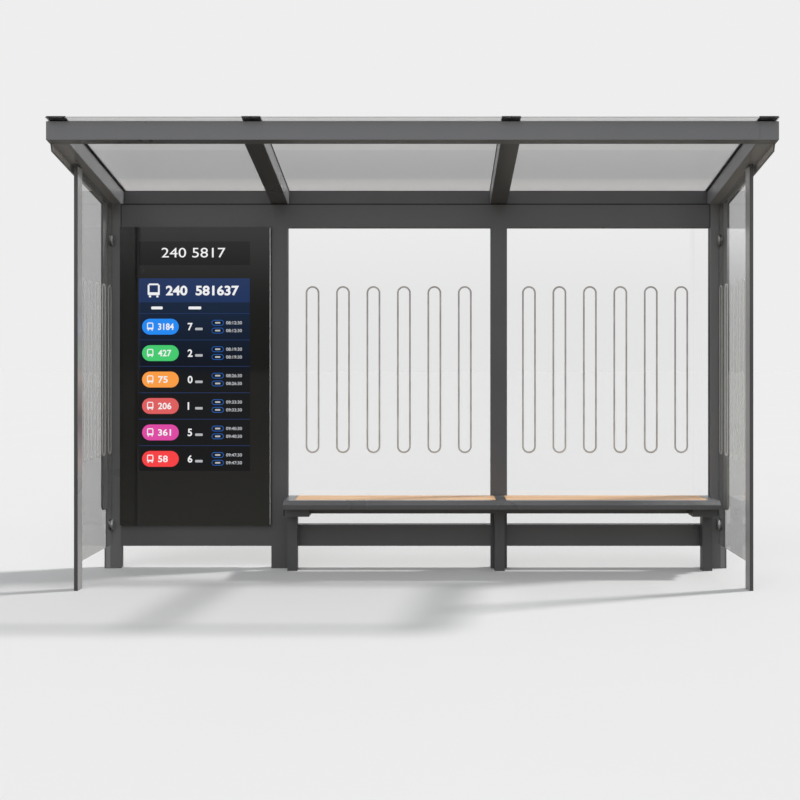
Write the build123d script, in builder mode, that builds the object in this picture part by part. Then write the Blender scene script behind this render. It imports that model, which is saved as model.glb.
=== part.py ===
"""Bus shelter: a steel frame with a glass roof, glass sides and back, a bench and a display cabinet.

Millimetres, +Z up. The origin is on the ground, at the middle of the shelter's length and depth.
X runs along the shelter, and -Y is the open front. The roof is one flat frame that is high at the front.
"""

import os
from math import cos, radians, tan

from build123d import *

os.makedirs("parts", exist_ok=True)

# ---- frame: driving dimensions ----
post_width = 100  # rear post along X, and every beam of the roof
post_depth = 60  # rear post along Y
display_bay = 930  # clear width between the first and second rear posts
seat_bay = 1255  # clear width between the other rear posts, two bays
post_setback = 1040  # roof frame's front face to the front face of the rear posts
front_post_setback = 352  # roof frame's front face to the front post
front_post_depth = 80
front_post_thickness = 20
side_line_inset = 43  # outer face of the frame to the middle of the side glass
underside_height = 2252  # roof frame's underside at the front face of the rear posts
header_height = 148
rail_bottom = 138
rail_height = 132

# ---- roof: every end is cut plumb, and thicknesses are square to the slope ----
roof_slope = 10  # degrees
rafter_depth = 95
cross_beam_width = 60  # front and rear beams, along Y
rear_beam_gap = 4  # rear posts to the rear beam
gasket_thickness = 3
gasket_inset = 6  # gasket's edge back from the outer edge of the frame
roof_glass_thickness = 6
cap_thickness = 3
roof_overhang = 38  # glass and caps past the front and rear beams
pane_inset = 10  # outer face of the frame to the edge of the glass
cap_inset = 14  # outer face of the frame to the edge of an outer cap
pane_joint = 4  # gap between roof panes, over a rafter
header_gap = 3  # shadow gap between the header and each end post, and under the roof frame

# ---- glass ----
glass_thickness = 10
side_glass_bottom = 150
clamp_height = 70
clamp_thickness = 12
clamp_depth = 37  # rear post's front face to the round nose of a clamp
clamp_inset = 80  # header's underside down to the middle of the upper clamps

# ---- edge trim ----
trim_thickness = 10
lip_drop = 33  # below the roof frame
lip_setback = 66  # roof frame's front face to the lip
lip_slant = 14
fin_width = 96
fin_bottom = 368
fin_radius = 40

# ---- display ----
display_gap = 2  # to the posts
display_proud = 25  # past the front face of the posts
display_glass_thickness = 6
display_depth = 120
display_cover_thickness = 4
display_cover_inset = 20

# ---- bench ----
bench_gap = 10  # each end, to the posts
seat_height = 450
seat_thickness = 50
seat_depth = 290
bench_bar = 60  # front rail, cross members, lower beam and legs
bench_beam_height = 50
bench_leg_setback = 90  # post's front face to the front of the legs
bracket_width = 146
bracket_height = 54
bracket_reach = 120
nose_chamfer = 24  # along the front rail's upper edge

# ---- worked out ----
length = 4 * post_width + display_bay + 2 * seat_bay
half_length = length / 2
end_post_x = half_length - post_width / 2
second_post_x = -end_post_x + post_width + display_bay
third_post_x = second_post_x + post_width + seat_bay
post_xs = [-end_post_x, second_post_x, third_post_x, end_post_x]

slope = radians(roof_slope)
roof_length = post_setback + post_depth + rear_beam_gap + cross_beam_width
depth = roof_length + 2 * roof_overhang
front_y = -roof_length / 2
rear_y = roof_length / 2
post_front_y = front_y + post_setback
post_back_y = post_front_y + post_depth
post_mid_y = post_front_y + post_depth / 2
front_post_y = front_y + front_post_setback
front_post_back_y = front_post_y + front_post_depth
roof_front_z = underside_height + post_setback * tan(slope)
side_line_x = half_length - side_line_inset
rail_top = rail_bottom + rail_height
header_bottom = underside_height - header_height
sides = {"left": -1, "right": 1}


def underside(y):
    """Height of the roof frame's underside at a place along Y."""
    return roof_front_z - (y - front_y) * tan(slope)


def level(y, thickness):
    """Height at a place along Y of a face that lies a thickness above the roof frame's underside."""
    return underside(y) + thickness / cos(slope)


def finish(part, name):
    """Labels one finished piece and writes it."""
    part.label = name
    export_step(part, f"parts/{name}.step")


def upright(name, low_x, high_x, low_y, high_y, bottom, gap=0):
    """An upright block that stands at a height and is cut to the roof frame's underside, less a gap."""
    with BuildPart() as post:
        with BuildSketch(Plane.YZ.offset(low_x)):
            with BuildLine():
                Polyline(
                    (low_y, bottom),
                    (high_y, bottom),
                    (high_y, underside(high_y) - gap),
                    (low_y, underside(low_y) - gap),
                    close=True,
                )
            make_face()
        extrude(amount=high_x - low_x)
    finish(post.part, name)


def block(name, low, high):
    """A plain block between two corners."""
    with BuildPart() as piece:
        with BuildSketch(Plane.XY.offset(low[2])):
            with Locations(((low[0] + high[0]) / 2, (low[1] + high[1]) / 2)):
                Rectangle(high[0] - low[0], high[1] - low[1])
        extrude(amount=high[2] - low[2])
    finish(piece.part, name)


def slope_outline(low_y, high_y, low_n, high_n):
    """Side outline of a roof piece with plumb ends: n is its height above the underside, square to the slope."""
    return [
        (low_y, level(low_y, low_n)),
        (high_y, level(high_y, low_n)),
        (high_y, level(high_y, high_n)),
        (low_y, level(low_y, high_n)),
    ]


def roof_block(name, low_x, high_x, low_y, high_y, low_n, high_n):
    """A straight piece of the roof, between two places along X."""
    with BuildPart() as piece:
        with BuildSketch(Plane.YZ.offset(low_x)):
            with BuildLine():
                Polyline(*slope_outline(low_y, high_y, low_n, high_n), close=True)
            make_face()
        extrude(amount=high_x - low_x)
    finish(piece.part, name)


# ---- posts ----
for number, x in enumerate(post_xs, start=1):
    end_post = number in (1, len(post_xs))
    if end_post:
        upright(f"rear_post_{number}", x - post_width / 2, x + post_width / 2, post_front_y, post_back_y, 0)
    else:
        block(
            f"rear_post_{number}",
            (x - post_width / 2, post_front_y, 0),
            (x + post_width / 2, post_back_y, header_bottom),
        )

for side, sign in sides.items():
    middle = sign * side_line_x
    upright(
        f"front_post_{side}",
        middle - front_post_thickness / 2,
        middle + front_post_thickness / 2,
        front_post_y,
        front_post_back_y,
        0,
    )

# ---- header and lower rails ----
header_end = end_post_x - post_width / 2 - header_gap
upright("header_beam", -header_end, header_end, post_front_y, post_back_y, header_bottom, header_gap)

bays = []
for left_x, right_x in zip(post_xs, post_xs[1:]):
    bays.append((left_x + post_width / 2, right_x - post_width / 2))
bay_names = ["display", "middle", "right"]
for name, (low_x, high_x) in zip(bay_names, bays):
    block(f"lower_rail_{name}", (low_x, post_front_y, rail_bottom), (high_x, post_back_y, rail_top))

# ---- rear glass, in the two seat bays ----
for name, (low_x, high_x) in list(zip(bay_names, bays))[1:]:
    block(
        f"rear_glass_{name}",
        (low_x, post_mid_y - glass_thickness / 2, rail_top),
        (high_x, post_mid_y + glass_thickness / 2, header_bottom),
    )

# ---- side glass and its clamps: each is flat against the post and round in front ----
clamp_radius = clamp_height / 2
clamp_nose_y = post_front_y - clamp_depth + clamp_radius
clamp_middles = [rail_top, header_bottom - clamp_inset]
for side, sign in sides.items():
    middle = sign * side_line_x
    upright(
        f"side_glass_{side}",
        middle - glass_thickness / 2,
        middle + glass_thickness / 2,
        front_post_back_y,
        post_front_y,
        side_glass_bottom,
    )
    with BuildPart() as clamps:
        for face in (-1, 1):
            with BuildSketch(Plane.YZ.offset(middle + face * glass_thickness / 2)):
                with Locations(*[(clamp_nose_y, z) for z in clamp_middles]):
                    Circle(clamp_radius)
                with Locations(*[((clamp_nose_y + post_front_y) / 2, z) for z in clamp_middles]):
                    Rectangle(post_front_y - clamp_nose_y, clamp_height)
                with Locations(*[(post_front_y + clamp_radius, z) for z in clamp_middles]):
                    Rectangle(clamp_height, clamp_height, mode=Mode.SUBTRACT)
            extrude(amount=face * clamp_thickness)
    finish(clamps.part, f"glass_clamps_{side}")

# ---- roof frame ----
beam_inner_x = half_length - post_width
front_beam_back_y = front_y + cross_beam_width
rear_beam_front_y = rear_y - cross_beam_width
for side, sign in sides.items():
    low_x, high_x = sorted((sign * beam_inner_x, sign * half_length))
    roof_block(f"roof_side_beam_{side}", low_x, high_x, front_y, rear_y, 0, rafter_depth)
roof_block("roof_front_beam", -beam_inner_x, beam_inner_x, front_y, front_beam_back_y, 0, rafter_depth)
roof_block("roof_rear_beam", -beam_inner_x, beam_inner_x, rear_beam_front_y, rear_y, 0, rafter_depth)
for name, x in (("left", second_post_x), ("right", third_post_x)):
    roof_block(
        f"roof_rafter_{name}",
        x - post_width / 2,
        x + post_width / 2,
        front_beam_back_y,
        rear_beam_front_y,
        0,
        rafter_depth,
    )

# ---- roof gasket, one flat ladder under the panes ----
glass_n = rafter_depth + gasket_thickness
cap_n = glass_n + roof_glass_thickness
with BuildPart() as roof_gasket:
    with BuildSketch(Plane.YZ.offset(-half_length + gasket_inset)):
        with BuildLine():
            Polyline(
                *slope_outline(front_y + gasket_inset, rear_y - gasket_inset, rafter_depth, glass_n),
                close=True,
            )
        make_face()
    extrude(amount=length - 2 * gasket_inset)
    for low_x, high_x in bays:
        with BuildSketch(Plane.YZ.offset(low_x)):
            with BuildLine():
                Polyline(
                    *slope_outline(front_beam_back_y, rear_beam_front_y, rafter_depth, glass_n),
                    close=True,
                )
            make_face()
        extrude(amount=high_x - low_x, mode=Mode.SUBTRACT)
finish(roof_gasket.part, "roof_gasket")

# ---- roof glass and cap strips ----
glass_front_y = front_y - roof_overhang
glass_rear_y = rear_y + roof_overhang
glass_end_x = half_length - pane_inset
pane_edges = [-glass_end_x, second_post_x - pane_joint / 2, third_post_x - pane_joint / 2, glass_end_x]
for number, (low_x, high_x) in enumerate(zip(pane_edges, pane_edges[1:]), start=1):
    low = low_x if number == 1 else low_x + pane_joint
    roof_block(f"roof_glass_{number}", low, high_x, glass_front_y, glass_rear_y, glass_n, cap_n)

cap_xs = [-half_length + cap_inset + post_width / 2, second_post_x, third_post_x]
cap_xs.append(half_length - cap_inset - post_width / 2)
for number, x in enumerate(cap_xs, start=1):
    roof_block(
        f"roof_cap_{number}",
        x - post_width / 2,
        x + post_width / 2,
        glass_front_y,
        glass_rear_y,
        cap_n,
        cap_n + cap_thickness,
    )

# ---- edge trim: a lip under each side beam, and a fin in front of each end post ----
fin_front_y = post_front_y - fin_width
lip_top_y = front_y + lip_setback
lip_foot_y = lip_top_y + lip_slant
for side, sign in sides.items():
    outer = sign * half_length
    with BuildPart() as lip:
        with BuildSketch(Plane.YZ.offset(outer)):
            with BuildLine():
                Polyline(
                    (lip_top_y, underside(lip_top_y)),
                    (lip_foot_y, underside(lip_foot_y) - lip_drop),
                    (fin_front_y, underside(fin_front_y) - lip_drop),
                    (fin_front_y, underside(fin_front_y)),
                    close=True,
                )
            make_face()
        extrude(amount=-sign * trim_thickness)
    finish(lip.part, f"roof_lip_{side}")

    with BuildPart() as fin:
        with BuildSketch(Plane.YZ.offset(outer)):
            with BuildLine():
                FilletPolyline(
                    (post_front_y, fin_bottom),
                    (fin_front_y, fin_bottom),
                    (fin_front_y, underside(fin_front_y)),
                    radius=fin_radius,
                )
                Polyline(
                    (fin_front_y, underside(fin_front_y)),
                    (post_front_y, underside(post_front_y)),
                    (post_front_y, fin_bottom),
                )
            make_face()
        extrude(amount=-sign * trim_thickness)
    finish(fin.part, f"post_fin_{side}")

# ---- display cabinet ----
display_low_x = bays[0][0] + display_gap
display_high_x = bays[0][1] - display_gap
display_front_y = post_front_y - display_proud
cabinet_front_y = display_front_y + display_glass_thickness
cabinet_back_y = cabinet_front_y + display_depth
block(
    "display_front_glass",
    (display_low_x, display_front_y, rail_top),
    (display_high_x, cabinet_front_y, header_bottom),
)
block(
    "display_cabinet",
    (display_low_x, cabinet_front_y, rail_top),
    (display_high_x, cabinet_back_y, header_bottom),
)
block(
    "display_back_cover",
    (display_low_x + display_cover_inset, cabinet_back_y, rail_top + display_cover_inset),
    (
        display_high_x - display_cover_inset,
        cabinet_back_y + display_cover_thickness,
        header_bottom - display_cover_inset,
    ),
)

# ---- bench ----
bench_low_x = bays[1][0] + bench_gap
bench_high_x = bays[2][1] - bench_gap
bench_mid_x = (bench_low_x + bench_high_x) / 2
bench_back_y = post_front_y  # the middle cross member is bolted to the third post
bench_front_y = bench_back_y - seat_depth
rail_back_y = bench_front_y + bench_bar
leg_front_y = post_front_y - bench_leg_setback
leg_back_y = leg_front_y + bench_bar
seat_bottom = seat_height - seat_thickness
beam_bottom = seat_bottom - bench_beam_height

with BuildPart() as bench_front_rail:
    with BuildSketch(Plane.YZ.offset(bench_low_x)):
        with Locations(((bench_front_y + rail_back_y) / 2, (seat_bottom + seat_height) / 2)):
            Rectangle(bench_bar, seat_thickness)
    extrude(amount=bench_high_x - bench_low_x)
    nose_edge = bench_front_rail.edges().filter_by(Axis.X).group_by(Axis.Z)[-1].sort_by(Axis.Y)[0]
    chamfer(nose_edge, length=nose_chamfer)
finish(bench_front_rail.part, "bench_front_rail")

cross_xs = {
    "left": bench_low_x + bench_bar / 2,
    "middle": bench_mid_x,
    "right": bench_high_x - bench_bar / 2,
}
with BuildPart() as bench_cross_members:
    with BuildSketch(Plane.XY.offset(seat_bottom)):
        with Locations(*[(x, (rail_back_y + bench_back_y) / 2) for x in cross_xs.values()]):
            Rectangle(bench_bar, bench_back_y - rail_back_y)
    extrude(amount=seat_thickness)
finish(bench_cross_members.part, "bench_cross_members")

for name, left, right in (("left", "left", "middle"), ("right", "middle", "right")):
    block(
        f"seat_board_{name}",
        (cross_xs[left] + bench_bar / 2, rail_back_y, seat_bottom),
        (cross_xs[right] - bench_bar / 2, bench_back_y, seat_height),
    )

block("bench_lower_beam", (bench_low_x, leg_front_y, beam_bottom), (bench_high_x, leg_back_y, seat_bottom))

with BuildPart() as bench_brackets:
    with BuildSketch(Plane.XY.offset(seat_bottom - bracket_height)):
        for x in (bench_low_x + bracket_width / 2, bench_high_x - bracket_width / 2):
            with Locations((x, leg_front_y - bracket_reach / 2)):
                Rectangle(bracket_width, bracket_reach)
    extrude(amount=bracket_height)
finish(bench_brackets.part, "bench_brackets")

with BuildPart() as bench_legs:
    with BuildSketch(Plane.XY):
        with Locations(*[(x, (leg_front_y + leg_back_y) / 2) for x in cross_xs.values()]):
            Rectangle(bench_bar, bench_bar)
    extrude(amount=beam_bottom)
finish(bench_legs.part, "bench_legs")

top = level(glass_front_y, cap_n + cap_thickness)
print("length", length, "depth", depth, "height", round(top, 1))
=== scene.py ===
# %% [markdown]
# # A bus shelter around its frame
#
# The steel, glass, bench and display of this shelter were built to size in CAD. This lesson loads them as
# a fixed frame, gives them their finishes and adds what is too fine for CAD: the outlines on the glass,
# the slats of the seat, seals, liners and screws, and the picture on the display.
#
# Everything is in metres. X runs along the shelter, -Y is the open front and Z is up.

import math

import bmesh
import bpy
from mathutils import Matrix, Vector


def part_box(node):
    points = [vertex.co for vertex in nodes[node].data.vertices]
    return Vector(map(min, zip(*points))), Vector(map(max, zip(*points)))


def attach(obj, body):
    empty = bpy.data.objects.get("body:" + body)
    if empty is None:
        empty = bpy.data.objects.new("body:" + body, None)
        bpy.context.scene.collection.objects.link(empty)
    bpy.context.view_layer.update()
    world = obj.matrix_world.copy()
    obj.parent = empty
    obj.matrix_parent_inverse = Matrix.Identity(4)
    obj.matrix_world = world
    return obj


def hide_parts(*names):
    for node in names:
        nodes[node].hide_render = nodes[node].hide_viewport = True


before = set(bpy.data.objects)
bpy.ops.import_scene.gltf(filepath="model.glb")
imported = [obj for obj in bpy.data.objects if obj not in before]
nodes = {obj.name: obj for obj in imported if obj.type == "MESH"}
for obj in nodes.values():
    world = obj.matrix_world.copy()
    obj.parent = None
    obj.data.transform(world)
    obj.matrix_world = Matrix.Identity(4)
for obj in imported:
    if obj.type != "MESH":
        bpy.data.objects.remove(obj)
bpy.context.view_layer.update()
print(len(nodes), "CAD nodes")

# %% [markdown]
# ## Small helpers
#
# Each new piece starts as a bmesh, is shaped with operators, and ends as one object that stays at the
# origin with its place in its mesh. These helpers make such an object, and the shapes that come back
# often. Every real edge is a little round, and a bevel of a millimetre catches the light.

# %% Helpers
MM = 0.001


def add_object(name, data):
    """Puts a mesh, a text, a lamp or a camera in the scene."""
    thing = bpy.data.objects.new(name, data)
    bpy.context.scene.collection.objects.link(thing)
    return thing


def mesh_object(name, bm, material):
    """Makes an object of a finished bmesh."""
    mesh = bpy.data.meshes.new(name)
    bm.to_mesh(mesh)
    bm.free()
    mesh.materials.append(material)
    return add_object(name, mesh)


def keep(name, bm, material):
    """Makes a piece of a finished bmesh, and hangs it on the shelter."""
    bmesh.ops.recalc_face_normals(bm, faces=bm.faces)
    piece = mesh_object(name, bm, material)
    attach(piece, "root")
    return piece


def edges_of(made):
    """The edges of a shape that an operator has just made."""
    return {edge for vert in made["verts"] for edge in vert.link_edges}


def soften(bm, edges, radius, segments=2):
    """Rounds edges over with a bevel."""
    bmesh.ops.bevel(
        bm, geom=list(edges), offset=radius, segments=segments, profile=0.5, affect="EDGES", material=-1
    )


def block(bm, low, high, softened=0.0, segments=2):
    """A block between two corners, with its edges rounded."""
    low, high = Vector(low), Vector(high)
    place = Matrix.Translation((low + high) / 2) @ Matrix.Diagonal((*(high - low), 1))
    made = bmesh.ops.create_cube(bm, size=1, matrix=place)
    if softened:
        soften(bm, edges_of(made), softened, segments)
    return made


def block_piece(name, low, high, softened, material):
    """A piece that is one block."""
    bm = bmesh.new()
    block(bm, low, high, softened)
    keep(name, bm, material)


def middle_of(box):
    """The middle of a box that is given by two corners."""
    return (box[0] + box[1]) / 2


def button(bm, centre, axis, radius, height, softened, sides=32, recess=0.0):
    """A short round boss that stands on a point, with a rounded rim and perhaps a recess."""
    turn = Vector((0, 0, 1)).rotation_difference(Vector(axis)).to_matrix().to_4x4()
    place = Matrix.Translation(centre) @ turn @ Matrix.Translation((0, 0, height / 2))
    made = bmesh.ops.create_cone(
        bm, cap_ends=True, segments=sides, radius1=radius, radius2=radius, depth=height, matrix=place
    )
    outward = Vector(axis)
    top = max(vert.co.dot(outward) for vert in made["verts"])

    def at_top(item):
        return all(abs(vert.co.dot(outward) - top) < 1e-6 for vert in item.verts)

    def near_centre(face):
        return (face.calc_center_median() - Vector(centre)).length < height * 1.5

    soften(bm, [edge for edge in edges_of(made) if at_top(edge)], softened, 3)
    if recess:
        tops = [face for face in bm.faces if len(face.verts) == sides and at_top(face) and near_centre(face)]
        bmesh.ops.inset_individual(bm, faces=tops, thickness=(radius - softened) * 0.45)
        bmesh.ops.inset_individual(bm, faces=tops, thickness=radius * 0.02, depth=-recess)


def screw(bm, centre, axis, radius=5 * MM):
    """A low screw head with a socket in the middle."""
    button(bm, centre, axis, radius, radius * 0.45, radius * 0.2, 20, radius * 0.3)


print("helpers ready")

# %% [markdown]
# ## Where things are
#
# Places come from the frame's own boxes, so a change in the CAD moves these pieces with it. The roof
# slopes down to the back, and its slope is read from the box of a cap strip.

# %% Places from the frame
post_low, post_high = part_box("rear_post_1")
post_front_y = post_low.y
pane_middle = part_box("rear_glass_middle")
pane_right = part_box("rear_glass_right")
side_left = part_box("side_glass_left")
side_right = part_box("side_glass_right")
display_low, display_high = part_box("display_front_glass")
header_low, header_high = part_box("header_beam")
front_low, front_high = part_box("roof_front_beam")
caps = [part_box(f"roof_cap_{k}") for k in range(1, 5)]
cap_thickness = 3 * MM
cap_low, cap_high = caps[0]
roof_fall = (cap_high.z - cap_low.z - cap_thickness) / (cap_high.y - cap_low.y)
roof_up = Vector((0, roof_fall, 1)).normalized()
print("post front", post_front_y, "roof fall", roof_fall)
print("display", display_low, display_high)

# %% [markdown]
# ## Shared effects
#
# Powder coat, wood and glass need slow changes of tone, so that no face is one dead colour. A few short
# functions place the nodes that come back in many materials. Each takes sockets and finds the tree from
# them.
#
# A node group is built once and placed in each paint with its own colour. It gives back a slightly
# clouded colour, a roughness that drifts with it and a fine bumpy height. It reads Object coordinates, so
# the pattern stays on the piece.

# %% Node helpers
def put(node, values):
    """Fills sockets of a node, each with a plain value, a colour or a link from another node."""
    for name, value in values.items():
        socket = node.inputs[name]
        if isinstance(value, bpy.types.NodeSocket):
            node.id_data.links.new(value, socket)
        else:
            socket.default_value = (*value, 1) if socket.type == "RGBA" else value


def add_node(near, kind, values={}, **settings):
    """A node in the tree of another node or of a socket."""
    node = near.id_data.nodes.new("ShaderNode" + kind)
    for name, value in settings.items():
        setattr(node, name, value)
    put(node, values)
    return node


def noise(vector, scale, detail=2.0, roughness=0.5):
    """Noise on a vector; a scale of 10 makes patches a tenth of a metre wide."""
    values = {"Vector": vector, "Scale": scale, "Detail": detail, "Roughness": roughness}
    return add_node(vector, "TexNoise", values).outputs["Fac"]


def stretched(vector, scale):
    """Scales a vector. Noise on it runs along the axis with the smallest number."""
    return add_node(vector, "Mapping", {"Vector": vector, "Scale": scale}).outputs["Vector"]


def part_of(vector, axis):
    """One coordinate of a vector."""
    return add_node(vector, "SeparateXYZ", {"Vector": vector}).outputs[axis]


def spread(value, low, high, new_low, new_high):
    """Stretches a value from one range onto another, and clamps it there."""
    values = {"Value": value, "From Min": low, "From Max": high, "To Min": new_low, "To Max": new_high}
    return add_node(value, "MapRange", values).outputs["Result"]


def combine(operation, *values, **settings):
    """A sum on values. The first is a socket, and the rest are sockets or plain numbers."""
    sockets = dict(enumerate(values))
    return add_node(values[0], "Math", sockets, operation=operation, **settings).outputs[0]


def ramp(value, stops):
    """A colour for each value. Each stop has its place, in rising order, and its colour."""
    node = add_node(value, "ValToRGB", {"Fac": value})
    elements = node.color_ramp.elements
    for at, colour in stops[1:-1]:
        elements.new(at)
    for element, (at, colour) in zip(elements, stops):
        element.position = at
        element.color = (*colour, 1)
    return node.outputs["Color"]


def tinted(colour, value):
    """A colour made darker or lighter by a value."""
    return add_node(colour, "HueSaturation", {"Color": colour, "Value": value}).outputs["Color"]


def mixed(factor, first, second):
    """One colour at a factor of 0 and another at 1."""
    values = {"Factor": factor, "A": first, "B": second}
    return add_node(factor, "Mix", values, data_type="RGBA").outputs["Result"]


def layered(factor, first, second):
    """One shader at a factor of 0 and another at 1."""
    return add_node(first, "MixShader", {"Fac": factor, 1: first.outputs[0], 2: second.outputs[0]})


def bumped(height, distance):
    """A shading normal from a height, whose full range stands for a distance in metres."""
    values = {"Height": height, "Distance": distance, "Strength": 1.0}
    return add_node(height, "Bump", values).outputs["Normal"]


print("node helpers ready")


# %% Group: powder coat
def coat_group():
    tree = bpy.data.node_groups.new("powder_coat", "ShaderNodeTree")
    add_socket = tree.interface.new_socket
    add_socket("Vector", in_out="INPUT", socket_type="NodeSocketVector")
    add_socket("Colour", in_out="INPUT", socket_type="NodeSocketColor").default_value = (0.1, 0.1, 0.1, 1)
    for name, kind in (("Colour", "Color"), ("Roughness", "Float"), ("Height", "Float")):
        add_socket(name, in_out="OUTPUT", socket_type="NodeSocket" + kind)
    source = tree.nodes.new("NodeGroupInput").outputs
    cloud = noise(source["Vector"], 2.3, 3.0)
    speckle = noise(source["Vector"], 420.0)
    clouded = spread(cloud, 0.3, 0.7, 0.965, 1.035)
    speckled = spread(speckle, 0.35, 0.65, 0.96, 1.04)
    tone = tinted(source["Colour"], combine("MULTIPLY", clouded, speckled))
    rough = spread(cloud, 0.3, 0.7, 0.27, 0.33)
    grain = noise(source["Vector"], 900.0, 1.0)
    put(tree.nodes.new("NodeGroupOutput"), {"Colour": tone, "Roughness": rough, "Height": grain})
    return tree


powder_coat = coat_group()
print("group", powder_coat.name)

# %% [markdown]
# ## Paint on steel
#
# The steel has a dark grey powder coat: satin, with a very fine orange-peel surface. The group feeds the
# colour and roughness of a Principled BSDF, and a Bump node turns the fine height into a shading normal.
# The bump distance is in metres and stays tiny. Some parts get a paler copy of the frame's paint, which is
# painted light: the end posts, the roof's front and side beams, the fins, the lips, the lower rails and the
# bench's lower beam. The pale paints at the end are painted light too, for thin sheets on inner faces.

# %% Paint materials
def new_material(name):
    material = bpy.data.materials.new(name)
    material.use_nodes = True
    return material, material.node_tree.nodes["Principled BSDF"]


def object_vector(near):
    return add_node(near, "TexCoord").outputs["Object"]


def rough_and_bumpy(shader, texture, low, high, distance):
    """One noise sets the roughness and a fine height."""
    rough = spread(texture, 0.3, 0.7, low, high)
    put(shader, {"Roughness": rough, "Normal": bumped(texture, distance)})


def surface(shader):
    """Shows a shader on the material's surface."""
    put(shader.id_data.nodes["Material Output"], {"Surface": shader.outputs[0]})


coat_grain = 0.006 * MM


def painted(name, colour, gloss=0.5):
    material, shader = new_material(name)
    values = {"Vector": object_vector(shader), "Colour": colour}
    coat = add_node(shader, "Group", values, node_tree=powder_coat).outputs
    put(shader, {"Base Color": coat["Colour"], "Roughness": coat["Roughness"]})
    put(shader, {"Normal": bumped(coat["Height"], coat_grain), "Specular IOR Level": gloss})
    return material


frame_paint = painted("frame_paint", (0.131, 0.132, 0.138))
# painted light: the end posts are paler, against the shade of their corners
painted_light_end_post = painted("painted_light_end_post", (0.200, 0.201, 0.206))
bench_paint = painted("bench_paint", (0.108, 0.110, 0.115), 0.75)
# painted light: the roof's front and side beams are paler, as if more lit from the front
painted_light_edge = painted("painted_light_edge", (0.222, 0.227, 0.241))
front_post_paint = painted("front_post_paint", (0.110, 0.111, 0.116))
# painted light: the fins, and the lips under the side beams, are paler against their shade
painted_light_fin = painted("painted_light_fin", (0.22, 0.224, 0.235))
# painted light: the lower rails and the bench's lower beam are paler against their shade
painted_light_low = painted("painted_light_low", (0.160, 0.161, 0.166))
cabinet_paint = painted("cabinet_paint", (0.044, 0.044, 0.046))
cap_paint = painted("cap_paint", (0.034, 0.038, 0.043))
# painted light: the next four paints are for thin sheets on inner faces, undersides and end post faces
painted_light_beam = painted("painted_light_beam", (0.37, 0.376, 0.395))
painted_light_trim = painted("painted_light_trim", (0.33, 0.333, 0.34))
painted_light_pale = painted("painted_light_pale", (0.72, 0.725, 0.74))
painted_light_white = painted("painted_light_white", (0.93, 0.93, 0.92))
ground_edge = painted("ground_edge", (0.88, 0.89, 0.885))
print("paints ready")

# %% [markdown]
# ## Glass
#
# Panes bend and reflect light with a Principled BSDF whose transmission is 1. Cycles gives such glass a
# dark shadow, so shadow rays and scattered rays meet a Transparent shader instead, chosen by Light Path.
# The back panes are clear and the side panes are a light grey. The roof panes are a pale, rough grey that
# scatters what shows through them, and a ramp from front to back paints bands of reflection on them.

# %% Glass materials
def glass(name, colour, shade, roughness, drift, reflection_stops=()):
    """shade is what lamps see through it, drift how much its roughness varies, stops paint reflections."""
    material, shader = new_material(name)
    if reflection_stops:
        low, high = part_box("roof_glass_1")
        from_front = spread(part_of(object_vector(shader), "Y"), low.y, high.y, 0.0, 1.0)
        stops = [(at, tuple(min(c * t, 1.0) for c, t in zip(colour, tone))) for at, tone in reflection_stops]
        colour = ramp(from_front, stops)
    if drift:
        film = noise(object_vector(shader), 3.0, 3.0)
        roughness = spread(film, 0.3, 0.7, max(roughness - drift, 0.0), roughness + drift)
    put(shader, {"Transmission Weight": 1.0, "IOR": 1.45, "Base Color": colour, "Roughness": roughness})
    clear = add_node(shader, "BsdfTransparent", {"Color": shade})
    path = add_node(shader, "LightPath").outputs
    straight = combine("MAXIMUM", path["Is Shadow Ray"], path["Is Diffuse Ray"])
    surface(layered(straight, shader, clear))
    return material


back_glass = glass("back_glass", (0.96, 0.964, 0.962), (0.93, 0.94, 0.935), 0.004, 0.004)
side_glass = glass("side_glass", (0.68, 0.682, 0.68), (0.95, 0.955, 0.95), 0.004, 0.004)
# painted reflections: the roof panes are lighter at the front edge, in the front third and towards the back
roof_painted_reflections = [  # place from the front edge to the rear edge, and tone
    (0.0, (1.35, 1.35, 1.34)),
    (0.031, (1.35, 1.35, 1.34)),
    (0.034, (1.10, 1.10, 1.09)),
    (0.36, (1.12, 1.12, 1.11)),
    (0.375, (1.0, 1.0, 1.0)),
    (0.735, (1.0, 1.0, 1.0)),
    (0.76, (1.16, 1.15, 1.14)),
    (0.86, (1.34, 1.31, 1.28)),
    (1.0, (1.35, 1.33, 1.30)),
]
roof_glass = glass("roof_glass", (0.74, 0.74, 0.74), (0.86, 0.86, 0.86), 0.28, 0.0, roof_painted_reflections)
print("glass ready")

# %% [markdown]
# ## Rubber, steel, print and the display's glass
#
# Brushed steel gets its direction from noise that is stretched along one axis. The clamps are blasted
# steel inside the side panes and dark paint outside them, told apart by their distance from the middle.
#
# The outlines on the back panes are a grey ceramic print. Those on the side panes are a frosted white:
# some light passes straight through, and of the rest half is scattered back and half goes on through. The
# display's glass is black, and a painted reflection of the floor makes it lighter towards its foot.

# %% Rubber and steel
def rubber():
    material, shader = new_material("rubber")
    put(shader, {"Base Color": (0.012, 0.012, 0.012)})
    rough_and_bumpy(shader, noise(object_vector(shader), 60.0, 4.0), 0.62, 0.82, 0.1 * MM)
    return material


def brushed(name, colour, roughness):
    material, shader = new_material(name)
    put(shader, {"Base Color": colour, "Metallic": 1.0})
    lines = noise(stretched(object_vector(shader), (900, 900, 30)), 1.0)
    rough_and_bumpy(shader, lines, roughness - 0.06, roughness + 0.08, 0.02 * MM)
    return material


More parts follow.
